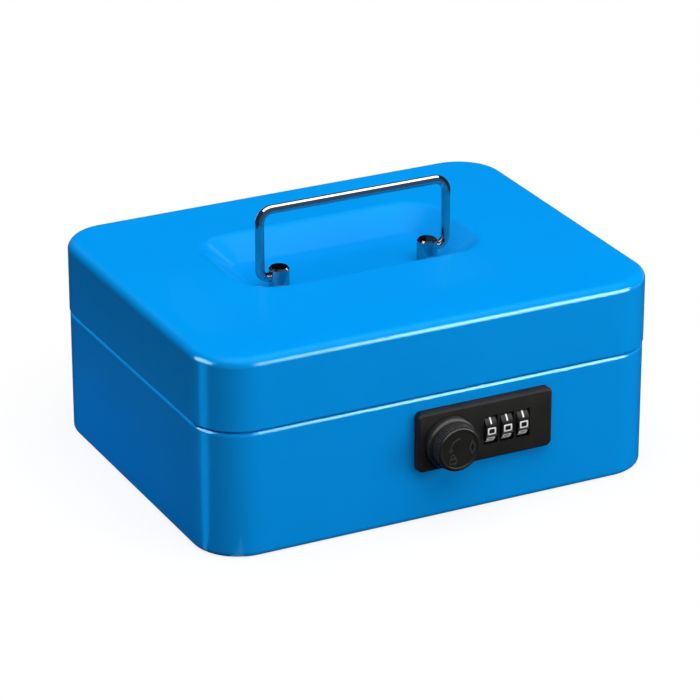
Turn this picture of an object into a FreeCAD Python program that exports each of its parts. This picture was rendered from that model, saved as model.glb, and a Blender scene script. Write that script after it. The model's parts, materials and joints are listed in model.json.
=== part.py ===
import FreeCAD, Part
import math
import os
from types import SimpleNamespace

import Sketcher
from FreeCAD import Placement, Rotation, Vector

# Steel cash box with a bail handle, a coin tray and a three-dial combination lock.
# X is the width, -Y the front and +Z up. The origin is the middle of the underside.
# Millimetres. At rest the lid is closed, the handle stands up and the latch is open.

DIMENSIONS = [
    # Shells
    ("box_width", 200.0),
    ("box_depth", 156.0),
    ("box_height", 85.0),
    ("corner_radius", 20.0),
    ("sheet_steel", 0.8),
    ("base_wall_height", 52.1),
    ("shoulder_radius", 2.0),
    ("base_edge_radius", 2.5),
    ("rim_height", 6.5),
    ("seam_gap", 0.45),
    ("lid_overhang", 0.3),
    ("lid_edge_radius", 3.8),
    ("lid_hem_radius", 0.35),
    # Recess in the lid, measured from the line of the handle's posts
    ("recess_width", 110.6),
    ("recess_front", 17.4),
    ("recess_back", 41.5),
    ("recess_depth", 9.2),
    ("recess_corner", 17.0),
    ("recess_floor_corner", 8.0),
    ("recess_side_run", 12.5),
    ("recess_front_run", 8.5),
    ("recess_back_run", 11.0),
    ("recess_rim_radius", 5.0),
    ("recess_foot_radius", 3.0),
    # Handle and its posts
    ("post_diameter", 8.6),
    ("post_rise", 0.4),
    ("post_chamfer", 0.7),
    ("tenon_diameter", 5.0),
    ("tenon_clearance", 0.05),
    ("rivet_diameter", 6.8),
    ("rivet_height", 0.7),
    ("washer_diameter", 9.0),
    ("washer_thickness", 1.0),
    ("handle_wire", 3.8),
    ("handle_width", 84.6),
    ("handle_height", 29.1),
    ("handle_top_bend", 5.5),
    ("handle_foot_bend", 3.8),
    ("handle_end_reach", 2.8),
    ("handle_post_gap", 0.4),
    ("pivot_below_top", 3.8),
    ("pivot_clearance", 0.06),
    ("pivot_end_gap", 0.4),
    # Hinges
    ("hinge_inset", 45.0),
    ("knuckle_length", 11.0),
    ("knuckle_gap", 0.3),
    ("hinge_pin_diameter", 2.2),
    ("hinge_clearance", 0.05),
    ("pin_overhang", 0.4),
    ("leaf_thickness", 0.8),
    ("leaf_height", 17.0),
    ("leaf_gap", 0.5),
    ("hinge_notch_drop", 3.0),
    ("hinge_notch_play", 0.6),
    # Lock plate and case
    ("lock_middle_x", 17.7),
    ("lock_middle_z", 35.5),
    ("plate_width", 60.4),
    ("plate_height", 25.6),
    ("plate_thickness", 4.0),
    ("plate_corner", 2.5),
    ("plate_chamfer", 1.0),
    ("case_width", 51.0),
    ("case_height", 19.0),
    ("case_depth", 16.0),
    ("case_clearance", 0.2),
    ("cover_thickness", 1.5),
    ("screw_diameter", 2.4),
    ("screw_clearance", 0.1),
    ("screw_length", 3.8),
    ("screw_head_diameter", 4.0),
    ("screw_head_height", 1.4),
    ("lock_screw_spacing_x", 56.0),
    ("lock_screw_spacing_z", 16.0),
    ("cover_screw_spacing_x", 46.6),
    ("cover_screw_spacing_z", 14.6),
    ("cover_screw_length", 7.0),
    # Knob, spindle, cam and striker
    ("knob_x", 1.0),
    ("knob_drop", 1.1),
    ("knob_gap", 0.3),
    ("knob_seat_depth", 0.4),
    ("knob_seat_play", 0.4),
    ("collar_diameter", 21.8),
    ("collar_height", 3.8),
    ("collar_round", 1.6),
    ("grip_diameter", 19.0),
    ("grip_length", 5.3),
    ("grip_tooth_depth", 0.45),
    ("grip_tooth_width", 0.55),
    ("grip_tooth_count", 64),
    ("grip_edge", 0.4),
    ("face_rim", 0.6),
    ("face_dish", 0.3),
    ("pointer_offset", 5.6),
    ("pointer_width", 3.0),
    ("pointer_height", 6.6),
    ("pointer_shoulder", 0.9),
    ("pointer_depth", 0.3),
    ("spindle_diameter", 6.0),
    ("spindle_clearance", 0.06),
    ("spindle_grip", 6.0),
    ("disc_diameter", 14.4),
    ("disc_thickness", 1.6),
    ("disc_play", 0.2),
    ("disc_notch_width", 3.2),
    ("disc_notch_depth", 0.9),
    ("tang_size", 4.0),
    ("tang_clearance", 0.05),
    ("cam_gap", 0.3),
    ("cam_thickness", 2.0),
    ("cam_hub_diameter", 10.0),
    ("cam_claw_width", 3.4),
    ("cam_play", 0.4),
    ("cam_screw_diameter", 2.5),
    ("cam_screw_length", 5.0),
    ("cam_screw_head_diameter", 5.2),
    ("cam_screw_head_height", 1.4),
    ("striker_width", 10.0),
    ("striker_thickness", 1.2),
    ("striker_bend", 0.6),
    ("striker_lug_rise", 12.5),
    ("striker_gap", 0.8),
    ("striker_arm_rise", 4.0),
    ("striker_edge_gap", 3.0),
    # Dials, hubs, fence and springs
    ("dial_middle_x", 27.05),
    ("dial_rise", 0.1),
    ("dial_setback", 5.4),
    ("dial_pitch", 7.28),
    ("dial_diameter", 14.0),
    ("dial_width", 4.9),
    ("ridge_height", 0.4),
    ("ridge_width", 0.9),
    ("window_width", 6.25),
    ("window_height", 12.0),
    ("axle_diameter", 3.0),
    ("axle_overhang", 1.4),
    ("axle_clearance", 0.05),
    ("hub_diameter", 8.0),
    ("hub_clearance", 0.05),
    ("key_width", 1.0),
    ("key_height", 0.5),
    ("key_clearance", 0.1),
    ("gate_disc_diameter", 11.0),
    ("gate_disc_thickness", 0.8),
    ("gate_depth", 1.6),
    ("gate_play", 0.2),
    ("fence_height", 2.4),
    ("fence_depth", 3.4),
    ("fence_play", 0.3),
    ("fence_tooth", 0.6),
    ("fence_end_gap", 1.0),
    ("fence_disc_overlap", 2.4),
    ("spring_diameter", 2.8),
    ("spring_wire", 0.4),
    ("spring_hole_depth", 5.0),
    ("spring_clearance", 0.25),
    ("spring_x", 11.6),
    ("spring_turns", 5),
    ("detent_thickness", 0.3),
    ("detent_finger", 3.0),
    ("detent_strip", 2.0),
    ("slide_x", 28.0),
    ("slide_drop", 4.6),
    ("slide_stem", 2.2),
    ("slide_head_width", 5.0),
    ("slide_head_height", 3.6),
    ("slide_head_thickness", 1.4),
    ("slide_foot_thickness", 0.8),
    ("slide_play", 0.15),
    ("slide_travel", 3.0),
    # Coin tray
    ("tray_clearance", 0.5),
    ("tray_depth", 27.0),
    ("tray_wall", 1.6),
    ("tray_tab_thickness", 1.6),
    ("tray_tab_inset", 0.2),
    ("tray_tab_length", 70.0),
    ("tray_tab_corner", 2.0),
    ("tray_row_split", 4.0),
    ("cup_floor_radius", 8.0),
    ("tray_lock_clearance", 6.0),
]

DIAL_COUNT = 3
DIGITS = 10
CLAW_START_ANGLE = 160
CLAW_END_ANGLE = 230
ARM_START_ANGLE = 212

doc = FreeCAD.newDocument("cash_box")
sheet = doc.addObject("Spreadsheet::Sheet", "sizes")
nodes = []


class Size:
    """A length with the sheet formula that gives it."""

    def __init__(self, value, formula):
        self.value = float(value)
        self.formula = formula

    def __add__(self, other):
        other = as_size(other)
        return Size(self.value + other.value, "(%s + %s)" % (self.formula, other.formula))

    def __sub__(self, other):
        other = as_size(other)
        return Size(self.value - other.value, "(%s - %s)" % (self.formula, other.formula))

    def __mul__(self, other):
        other = as_size(other)
        return Size(self.value * other.value, "(%s * %s)" % (self.formula, other.formula))

    def __truediv__(self, other):
        other = as_size(other)
        return Size(self.value / other.value, "(%s / %s)" % (self.formula, other.formula))

    def __rsub__(self, other):
        return as_size(other) - self

    def __neg__(self):
        return Size(-self.value, "(0 - %s)" % self.formula)

    __radd__ = __add__
    __rmul__ = __mul__


def as_size(number):
    if isinstance(number, Size):
        return number
    return Size(number, "%g" % number)


def hypotenuse(side, other):
    return Size(math.hypot(side.value, other.value),
                "sqrt(%s ^ 2 + %s ^ 2)" % (side.formula, other.formula))


def fill_sheet():
    """Write the driving dimensions and return them as named sizes."""
    sizes = {}
    for row, (name, value) in enumerate(DIMENSIONS, start=1):
        sheet.set("A%d" % row, name)
        sheet.set("B%d" % row, "%g" % value)
        sheet.setAlias("B%d" % row, name)
        sizes[name] = Size(value, "sizes." + name)
    doc.recompute()
    return SimpleNamespace(**sizes)


def bind(thing, prop, size):
    thing.setExpression(prop, as_size(size).formula)


def place(thing, x=0, y=0, z=0, rotation=None):
    thing.Placement = Placement(Vector(), rotation or Rotation())
    bind(thing, "Placement.Base.x", x)
    bind(thing, "Placement.Base.y", y)
    bind(thing, "Placement.Base.z", z)


def node(thing, name):
    thing.Label = name
    nodes.append(thing)
    return thing


# Sketches

def new_body(name):
    return node(doc.addObject("PartDesign::Body", name), name)


def origin_feature(body, role):
    return next(feature for feature in body.Origin.OriginFeatures if feature.Role == role)


def new_sketch(body, name, plane, offset=0):
    """A sketch on an origin plane, moved along its normal: +Z, +X, or -Y for the XZ plane."""
    sketch = body.newObject("Sketcher::SketchObject", name)
    sketch.AttachmentSupport = [(origin_feature(body, plane), "")]
    sketch.MapMode = "FlatFace"
    bind(sketch, "AttachmentOffset.Base.z", offset)
    return sketch


def dimension(sketch, size, kind, *where):
    index = sketch.addConstraint(Sketcher.Constraint(kind, *where, size.value))
    bind(sketch, "Constraints[%d]" % index, size)


def join(sketch, first, first_end, second, second_end, kind="Coincident"):
    sketch.addConstraint(Sketcher.Constraint(kind, first, first_end, second, second_end))


def pin_point(sketch, line, end, x, y):
    for kind, axis, position in (("DistanceX", -2, as_size(x)), ("DistanceY", -1, as_size(y))):
        if position.formula == "0":
            sketch.addConstraint(Sketcher.Constraint("PointOnObject", line, end, axis))
        else:
            dimension(sketch, position, kind, -1, 1, line, end)


def flat_point(x, y):
    return Vector(as_size(x).value, as_size(y).value, 0)


def add_line(sketch, start, finish):
    return sketch.addGeometry(Part.LineSegment(flat_point(*start), flat_point(*finish)), False)


def add_arc(sketch, x, y, radius, start, finish):
    circle = Part.Circle(flat_point(x, y), Vector(0, 0, 1), as_size(radius).value)
    return sketch.addGeometry(Part.ArcOfCircle(circle, math.radians(start), math.radians(finish)), False)


def polygon(sketch, corners):
    count = len(corners)
    lines = [add_line(sketch, corners[i], corners[(i + 1) % count]) for i in range(count)]
    for i in range(count):
        join(sketch, lines[i], 2, lines[(i + 1) % count], 1)
        pin_point(sketch, lines[i], 1, *corners[i])


def rectangle(sketch, x, y, width, height):
    left = x - width / 2
    right = x + width / 2
    bottom = y - height / 2
    top = y + height / 2
    polygon(sketch, [(left, bottom), (right, bottom), (right, top), (left, top)])


def rounded_rectangle(sketch, x, y, width, height, radius):
    right = width / 2 - radius
    top = height / 2 - radius
    centres = [(x + right, y + top), (x - right, y + top), (x - right, y - top), (x + right, y - top)]
    arcs = []
    for quarter, (centre_x, centre_y) in enumerate(centres):
        arcs.append(add_arc(sketch, centre_x, centre_y, radius, 90 * quarter, 90 * quarter + 90))
    for quarter in range(4):
        following = arcs[(quarter + 1) % 4]
        start = sketch.getPoint(arcs[quarter], 2)
        finish = sketch.getPoint(following, 1)
        line = sketch.addGeometry(Part.LineSegment(start, finish), False)
        join(sketch, arcs[quarter], 2, line, 1, "Tangent")
        join(sketch, line, 2, following, 1, "Tangent")
    dimension(sketch, radius, "Radius", arcs[0])
    for quarter in range(1, 4):
        sketch.addConstraint(Sketcher.Constraint("Equal", arcs[0], arcs[quarter]))
    for arc, centre in zip(arcs, centres):
        pin_point(sketch, arc, 3, *centre)


def circle(sketch, x, y, radius):
    round_line = sketch.addGeometry(
        Part.Circle(flat_point(x, y), Vector(0, 0, 1), as_size(radius).value), False)
    dimension(sketch, radius, "Radius", round_line)
    pin_point(sketch, round_line, 3, x, y)


def open_slot(sketch, x, y, radius, reach):
    """A half circle whose straight sides run to +X as far as reach."""
    arc = add_arc(sketch, x, y, radius, 90, 270)
    corners = [(x, y - radius), (reach, y - radius), (reach, y + radius), (x, y + radius)]
    lines = [add_line(sketch, corners[i], corners[i + 1]) for i in range(3)]
    join(sketch, arc, 2, lines[0], 1, "Tangent")
    join(sketch, lines[0], 2, lines[1], 1)
    join(sketch, lines[1], 2, lines[2], 1)
    join(sketch, lines[2], 2, arc, 1, "Tangent")
    for line, way in zip(lines, ("Horizontal", "Vertical", "Horizontal")):
        sketch.addConstraint(Sketcher.Constraint(way, line))
    pin_point(sketch, arc, 3, x, y)
    dimension(sketch, radius, "Radius", arc)
    dimension(sketch, reach, "DistanceX", -1, 1, lines[0], 2)


def ring_sector(sketch, inner, outer, start, finish):
    """A band about the origin between two radii and two angles in degrees."""
    arcs = [add_arc(sketch, 0, 0, radius, start, finish) for radius in (inner, outer)]
    for arc, radius in zip(arcs, (inner, outer)):
        join(sketch, arc, 3, -1, 1)
        dimension(sketch, radius, "Radius", arc)
    for end, angle in ((1, start), (2, finish)):
        line = sketch.addGeometry(
            Part.LineSegment(sketch.getPoint(arcs[0], end), sketch.getPoint(arcs[1], end)), False)
        join(sketch, arcs[0], end, line, 1)
        join(sketch, arcs[1], end, line, 2)
        sketch.addConstraint(Sketcher.Constraint("PointOnObject", -1, 1, line))
        sketch.addConstraint(Sketcher.Constraint("Angle", line, math.radians(angle)))


# Features

def pad(body, sketch, length, backwards=False):
    feature = body.newObject("PartDesign::Pad", sketch.Name + "_pad")
    feature.Profile = sketch
    feature.Reversed = backwards
    bind(feature, "Length", length)
    return feature


def pocket(body, sketch, length, backwards=False):
    """Cut against the sketch's normal, or along it when backwards."""
    doc.recompute()
    before = body.Tip.Shape.Volume
    feature = body.newObject("PartDesign::Pocket", sketch.Name + "_pocket")
    feature.Profile = sketch
    feature.Reversed = backwards
    bind(feature, "Length", length)
    doc.recompute()
    if feature.Shape.Volume > before - 1e-6:
        raise RuntimeError("%s removes nothing" % feature.Label)
    return feature


def revolve(body, sketch, axis):
    feature = body.newObject("PartDesign::Revolution", sketch.Name + "_turned")
    feature.Profile = sketch
    feature.ReferenceAxis = (sketch, [axis])
    feature.Angle = 360
    return feature


def around(body, original, role, count):
    pattern = body.newObject("PartDesign::PolarPattern", original.Name + "_pattern")
    pattern.Originals = [original]
    pattern.Axis = (origin_feature(body, role), [""])
    pattern.Angle = 360
    pattern.Occurrences = count
    body.Tip = pattern
    doc.recompute()


def along(body, original, role, pitch, count):
    pattern = body.newObject("PartDesign::LinearPattern", original.Name + "_row")
    pattern.Originals = [original]
    pattern.Direction = (origin_feature(body, role), [""])
    bind(pattern, "Length", pitch * (count - 1))
    pattern.Occurrences = count
    body.Tip = pattern
    doc.recompute()


def dress(body, kind, prop, size, chosen):
    """Fillet or chamfer the edges of the body's tip that the test picks."""
    doc.recompute()
    base = body.Tip
    names = ["Edge%d" % i for i, edge in enumerate(base.Shape.Edges, start=1) if chosen(edge)]
    feature = body.newObject("PartDesign::" + kind, body.Name + "_" + kind.lower())
    feature.Base = (base, names)
    bind(feature, prop, size)
    doc.recompute()


def fillet(body, radius, chosen):
    dress(body, "Fillet", "Radius", radius, chosen)


def chamfer(body, size, chosen):
    dress(body, "Chamfer", "Size", size, chosen)


def near(number, size):
    return abs(number - as_size(size).value) < 1e-4


def level(z):
    """A test for edges or faces that lie flat at one height."""
    def chosen(shape):
        box = shape.BoundBox
        return near(box.ZMin, z) and near(box.ZMax, z)
    return chosen


def upright_face(y):
    """A test for edges that lie in the plane at one depth."""
    def chosen(shape):
        box = shape.BoundBox
        return near(box.YMin, y) and near(box.YMax, y)
    return chosen


def hollow(body, wall, is_mouth):
    """Leave a wall inside the body's outer faces, open at one face."""
    doc.recompute()
    base = body.Tip
    names = ["Face%d" % i for i, face in enumerate(base.Shape.Faces, start=1) if is_mouth(face)]
    feature = body.newObject("PartDesign::Thickness", body.Name + "_wall")
    feature.Base = (base, names)
    feature.Mode = 0
    feature.Join = 0
    feature.Reversed = True
    bind(feature, "Value", wall)
    doc.recompute()


# Plain solids

def box(name, x, y, z):
    """A block between the given pairs of x, y and z."""
    solid = doc.addObject("Part::Box", name)
    bind(solid, "Length", x[1] - x[0])
    bind(solid, "Width", y[1] - y[0])
    bind(solid, "Height", z[1] - z[0])
    place(solid, x[0], y[0], z[0])
    return solid


ALONG_X = Rotation(Vector(0, 1, 0), 90)
ALONG_Y = Rotation(Vector(1, 0, 0), -90)


def rod(name, radius, length, x, y, z, direction):
    solid = doc.addObject("Part::Cylinder", name)
    bind(solid, "Radius", radius)
    bind(solid, "Height", length)
    place(solid, x, y, z, direction)
    return solid


def fuse(name, shapes):
    solid = doc.addObject("Part::MultiFuse", name)
    solid.Shapes = shapes
    return solid


def cut(name, base, tool):
    solid = doc.addObject("Part::Cut", name)
    solid.Base = base
    solid.Tool = tool
    return solid


def group(name, shapes):
    compound = doc.addObject("Part::Compound", name)
    compound.Links = shapes
    return compound


dim = fill_sheet()

# Places that several pieces share
SHOULDER_TOP = dim.base_wall_height + dim.shoulder_radius
RIM_TOP = SHOULDER_TOP + dim.rim_height
LID_BOTTOM = SHOULDER_TOP + dim.seam_gap
LID_WIDTH = dim.box_width + 2 * dim.lid_overhang
LID_DEPTH = dim.box_depth + 2 * dim.lid_overhang
LID_CORNER = dim.corner_radius + dim.lid_overhang
RECESS_FLOOR = dim.box_height - dim.recess_depth
POST_TOP = dim.box_height + dim.post_rise
PIVOT_Z = POST_TOP - dim.pivot_below_top
POST_X = dim.handle_width / 2 - dim.handle_foot_bend - dim.handle_post_gap - dim.post_diameter / 2
HINGE_X = dim.box_width / 2 - dim.hinge_inset
HINGE_Y = dim.box_depth / 2 - dim.shoulder_radius
HINGE_Z = dim.base_wall_height
HINGE_BORE = dim.hinge_pin_diameter / 2 + dim.hinge_clearance
KNUCKLE_RADIUS = HINGE_BORE + dim.leaf_thickness
HINGE_WIDTH = 3 * dim.knuckle_length + 2 * dim.knuckle_gap
FRONT = -dim.box_depth / 2
PLATE_FRONT = FRONT - dim.plate_thickness
CASE_BACK = FRONT + dim.case_depth
COVER_BACK = CASE_BACK + dim.cover_thickness
DISC_BACK = CASE_BACK - dim.disc_play
DISC_FRONT = DISC_BACK - dim.disc_thickness
FENCE_BACK = DISC_FRONT - dim.fence_play
FENCE_FRONT = FENCE_BACK - dim.fence_depth
CAM_FRONT = COVER_BACK + dim.cam_gap
CAM_BACK = CAM_FRONT + dim.cam_thickness
STRIKER_BACK = CAM_BACK + dim.striker_gap + dim.striker_thickness
KNOB_Z = dim.lock_middle_z - dim.knob_drop
KNOB_BACK = PLATE_FRONT + dim.knob_seat_depth - dim.knob_gap
KNOB_FACE = KNOB_BACK - dim.collar_height - dim.grip_length
DIAL_Y = PLATE_FRONT + dim.dial_setback
DIAL_Z = dim.lock_middle_z + dim.dial_rise
WELL_RADIUS = hypotenuse(dim.window_height / 2, dim.dial_setback)
WELLS_LEFT = dim.dial_middle_x - dim.dial_pitch - dim.window_width / 2
WELLS_WIDTH = 2 * dim.dial_pitch + dim.window_width
WELLS_BACK = FENCE_FRONT - dim.fence_play
DIAL_SIDE_GAP = (dim.window_width - dim.dial_width - dim.gate_disc_thickness) / 2
FENCE_LEFT = dim.knob_x + dim.disc_diameter / 2 - dim.fence_disc_overlap
FENCE_ABOVE_KNOB = DIAL_Z - KNOB_Z
CLAW_INNER = hypotenuse(dim.striker_lug_rise, dim.striker_width / 2) + dim.cam_play
CLAW_OUTER = CLAW_INNER + dim.cam_claw_width
SLIDE_Z = DIAL_Z - dim.slide_drop


def dial_left(index):
    return WELLS_LEFT + index * dim.dial_pitch + DIAL_SIDE_GAP


def corner_places(spacing_x, spacing_z):
    """The four corners of a screw pattern about the lock's middle."""
    return [(dim.lock_middle_x + side * spacing_x / 2, dim.lock_middle_z + rise * spacing_z / 2)
            for side in (-1, 1) for rise in (-1, 1)]


# Shells

def make_base_shell():
    body = new_body("base_shell")
    wall = new_sketch(body, "base_outline", "XY_Plane")
    rounded_rectangle(wall, 0, 0, dim.box_width, dim.box_depth, dim.corner_radius)
    pad(body, wall, SHOULDER_TOP)
    fillet(body, dim.base_edge_radius, level(0))
    fillet(body, dim.shoulder_radius, level(SHOULDER_TOP))
    rim = new_sketch(body, "rim_outline", "XY_Plane", SHOULDER_TOP)
    rounded_rectangle(rim, 0, 0, dim.box_width - 2 * dim.shoulder_radius,
                      dim.box_depth - 2 * dim.shoulder_radius, dim.corner_radius - dim.shoulder_radius)
    pad(body, rim, dim.rim_height)
    hollow(body, dim.sheet_steel, level(RIM_TOP))
    lock_hole = new_sketch(body, "lock_hole", "XZ_Plane", -FRONT)
    rectangle(lock_hole, dim.lock_middle_x, dim.lock_middle_z,
              dim.case_width + 2 * dim.case_clearance, dim.case_height + 2 * dim.case_clearance)
    for x, z in corner_places(dim.lock_screw_spacing_x, dim.lock_screw_spacing_z):
        circle(lock_hole, x, z, dim.screw_diameter / 2 + dim.screw_clearance)
    pocket(body, lock_hole, 2 * dim.sheet_steel)
    notches = new_sketch(body, "hinge_notches", "XZ_Plane", KNUCKLE_RADIUS * 2 - HINGE_Y)
    bottom = HINGE_Z - dim.hinge_notch_drop
    height = RIM_TOP + dim.seam_gap - bottom
    for side in (-1, 1):
        rectangle(notches, side * HINGE_X, bottom + height / 2,
                  HINGE_WIDTH + 2 * dim.hinge_notch_play, height)
    pocket(body, notches, KNUCKLE_RADIUS * 4)


def make_lid_shell():
    body = new_body("lid_shell")
    wall = new_sketch(body, "lid_outline", "XY_Plane", LID_BOTTOM)
    rounded_rectangle(wall, 0, 0, LID_WIDTH, LID_DEPTH, LID_CORNER)
    pad(body, wall, dim.box_height - LID_BOTTOM)
    fillet(body, dim.lid_edge_radius, level(dim.box_height))
    mouth = new_sketch(body, "recess_mouth", "XY_Plane", dim.box_height)
    rounded_rectangle(mouth, 0, (dim.recess_back - dim.recess_front) / 2, dim.recess_width,
                      dim.recess_back + dim.recess_front, dim.recess_corner)
    floor = new_sketch(body, "recess_floor", "XY_Plane", RECESS_FLOOR)
    floor_back = dim.recess_back - dim.recess_back_run
    floor_front = dim.recess_front - dim.recess_front_run
    rounded_rectangle(floor, 0, (floor_back - floor_front) / 2, dim.recess_width - 2 * dim.recess_side_run,
                      floor_back + floor_front, dim.recess_floor_corner)
    recess = body.newObject("PartDesign::SubtractiveLoft", "recess")
    recess.Profile = mouth
    recess.Sections = [floor]
    recess.Ruled = True
    reach = dim.recess_width.value / 2 + 1

    def recess_rim(z):
        def chosen(edge):
            middle = edge.CenterOfMass
            return level(z)(edge) and abs(middle.x) < reach and abs(middle.y) < dim.recess_back.value + 1
        return chosen

    hollow(body, dim.sheet_steel, level(LID_BOTTOM))
    fillet(body, dim.recess_foot_radius, level(RECESS_FLOOR))
    fillet(body, dim.recess_rim_radius - dim.sheet_steel, recess_rim(dim.box_height - dim.sheet_steel))
    fillet(body, dim.recess_rim_radius, recess_rim(dim.box_height))

    def outer_hem(edge):
        middle = edge.CenterOfMass
        if not level(LID_BOTTOM)(edge):
            return False
        if edge.Curve.TypeId == "Part::GeomCircle":
            return near(edge.Curve.Radius, LID_CORNER)
        return near(abs(middle.x), LID_WIDTH / 2) or near(abs(middle.y), LID_DEPTH / 2)

    fillet(body, dim.lid_hem_radius, outer_hem)
    holes = new_sketch(body, "post_holes", "XY_Plane", RECESS_FLOOR)
    for side in (-1, 1):
        circle(holes, side * POST_X, 0, dim.tenon_diameter / 2 + dim.tenon_clearance)
    pocket(body, holes, 2 * dim.sheet_steel)


# Hinges

def make_hinge(side, side_name):
    left = side * HINGE_X - HINGE_WIDTH / 2
    across = (left, left + HINGE_WIDTH)
    step = dim.knuckle_length + dim.knuckle_gap
    neck_end = HINGE_BORE + dim.hinge_clearance

    def leaf(name, y, low, high, neck, knuckles):
        name = "%s_%s" % (name, side_name)
        solids = [box(name + "_plate", across, y, (low, high))]
        for index in knuckles:
            start = left + index * step
            solids.append(box(name + "_neck", (start, start + dim.knuckle_length), y, neck))
            solids.append(rod(name + "_knuckle", KNUCKLE_RADIUS, dim.knuckle_length,
                              start, HINGE_Y, HINGE_Z, ALONG_X))
        bore = rod(name + "_bore", HINGE_BORE, HINGE_WIDTH, left, HINGE_Y, HINGE_Z, ALONG_X)
        node(cut(name, fuse(name + "_whole", solids), bore), name)

    base_inside = dim.box_depth / 2 - dim.sheet_steel
    lid_inside = LID_DEPTH / 2 - dim.sheet_steel
    clear = KNUCKLE_RADIUS + dim.leaf_gap
    leaf("base_hinge_leaf", (base_inside - dim.leaf_thickness, base_inside),
         HINGE_Z - dim.leaf_height, HINGE_Z - clear,
         (HINGE_Z - dim.leaf_height / 2, HINGE_Z - neck_end), (0, 2))
    leaf("lid_hinge_leaf", (lid_inside - dim.leaf_thickness, lid_inside),
         HINGE_Z + clear, HINGE_Z + dim.leaf_height,
         (HINGE_Z + neck_end, HINGE_Z + dim.leaf_height / 2), (1,))
    pin_name = "hinge_pin_" + side_name
    node(rod(pin_name, dim.hinge_pin_diameter / 2, HINGE_WIDTH + 2 * dim.pin_overhang,
             left - dim.pin_overhang, HINGE_Y, HINGE_Z, ALONG_X), pin_name)


# Handle

def make_handle_post(side, side_name):
    body = new_body("handle_post_" + side_name)
    profile = new_sketch(body, "post_profile", "XZ_Plane")
    radius = dim.post_diameter / 2
    tenon = dim.tenon_diameter / 2
    rivet = dim.rivet_diameter / 2
    rivet_top = RECESS_FLOOR - dim.sheet_steel - dim.washer_thickness
    rivet_bottom = rivet_top - dim.rivet_height
    polygon(profile, [
        (0, rivet_bottom), (rivet, rivet_bottom), (rivet, rivet_top), (tenon, rivet_top),
        (tenon, RECESS_FLOOR), (radius, RECESS_FLOOR), (radius, POST_TOP - dim.post_chamfer),
        (radius - dim.post_chamfer, POST_TOP), (0, POST_TOP)])
    revolve(body, profile, "V_Axis")
    eye = new_sketch(body, "handle_eye", "YZ_Plane", side * radius)
    circle(eye, 0, PIVOT_Z, dim.handle_wire / 2 + dim.pivot_clearance)
    pocket(body, eye, dim.handle_end_reach + dim.pivot_end_gap, backwards=side < 0)
    place(body, side * POST_X)


def make_post_washers():
    washers = []
    for side in (-1, 1):
        bottom = RECESS_FLOOR - dim.sheet_steel - dim.washer_thickness
        outer = rod("washer_outer", dim.washer_diameter / 2, dim.washer_thickness,
                    side * POST_X, 0, bottom, Rotation())
        hole = rod("washer_hole", dim.tenon_diameter / 2 + dim.tenon_clearance, dim.washer_thickness,
                   side * POST_X, 0, bottom, Rotation())
        washers.append(cut("washer", outer, hole))
    node(group("post_washers", washers), "post_washers")


def make_handle_bail():
    body = new_body("handle_bail")
    leg = dim.handle_width / 2
    end = POST_X + dim.post_diameter / 2 - dim.handle_end_reach
    top = PIVOT_Z + dim.handle_height
    foot_x = leg - dim.handle_foot_bend
    foot_z = PIVOT_Z + dim.handle_foot_bend
    top_x = leg - dim.handle_top_bend
    top_z = top - dim.handle_top_bend
    path = new_sketch(body, "bail_path", "XZ_Plane")
    runs = [((-end, PIVOT_Z), (-foot_x, PIVOT_Z)), ((-leg, foot_z), (-leg, top_z)),
            ((-top_x, top), (top_x, top)), ((leg, top_z), (leg, foot_z)), ((foot_x, PIVOT_Z), (end, PIVOT_Z))]
    bends = [(-foot_x, foot_z, dim.handle_foot_bend, 180), (-top_x, top_z, dim.handle_top_bend, 90),
             (top_x, top_z, dim.handle_top_bend, 0), (foot_x, foot_z, dim.handle_foot_bend, 270)]
    lines = []
    for start, finish in runs:
        line = add_line(path, start, finish)
        pin_point(path, line, 1, *start)
        pin_point(path, line, 2, *finish)
        lines.append(line)
    for index, (x, z, radius, angle) in enumerate(bends):
        arc = add_arc(path, x, z, radius, angle, angle + 90)
        join(path, lines[index], 2, arc, 2)
        join(path, arc, 1, lines[index + 1], 1)
        dimension(path, radius, "Radius", arc)
    section = new_sketch(body, "bail_section", "YZ_Plane", -end)
    circle(section, 0, PIVOT_Z, dim.handle_wire / 2)
    doc.recompute()
    sweep = body.newObject("PartDesign::AdditivePipe", "bail_wire")
    sweep.Profile = section
    sweep.Spine = (path, ["Edge%d" % i for i in range(1, len(runs) + len(bends) + 1)])


# Lock

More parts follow.
